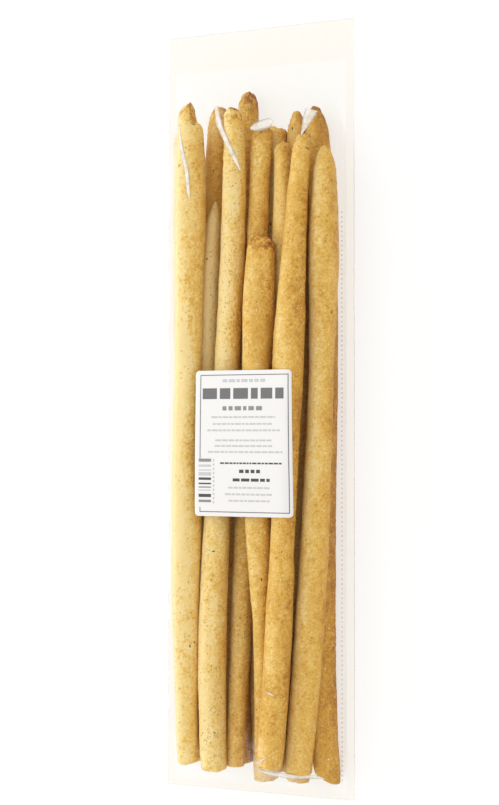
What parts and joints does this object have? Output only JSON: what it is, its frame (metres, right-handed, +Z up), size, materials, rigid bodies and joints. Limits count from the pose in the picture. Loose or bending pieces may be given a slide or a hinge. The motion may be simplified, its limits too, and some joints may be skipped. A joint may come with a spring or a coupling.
{
  "type": "sealed clear bag of long thin bread sticks with a paper label",
  "caption": "Long flat bag of clear film, welded at both ends and sides, holding a bundle of long thin rosemary bread sticks under a plain paper label.",
  "frame": {"origin": "centre of the flat underside that the bag lies on, at the bottom centre of the bounding box", "axes": "+X across the bag, +Y along the bag towards its header strip, +Z up from the table through the labelled face"},
  "size_m": [0.103, 0.393, 0.0403],
  "materials": {
    "film": "thin clear polypropylene film, glossy, with fine creases and flat heat welds",
    "bread": "baked bread crust, pale gold to brown, matt, finely blistered, with flecks of rosemary",
    "label_paper": "smooth white self-adhesive paper with grey printed bars"
  },
  "bodies": {
    "root": {"bag": "film", "label": "label_paper"}
  },
  "joints": []
}
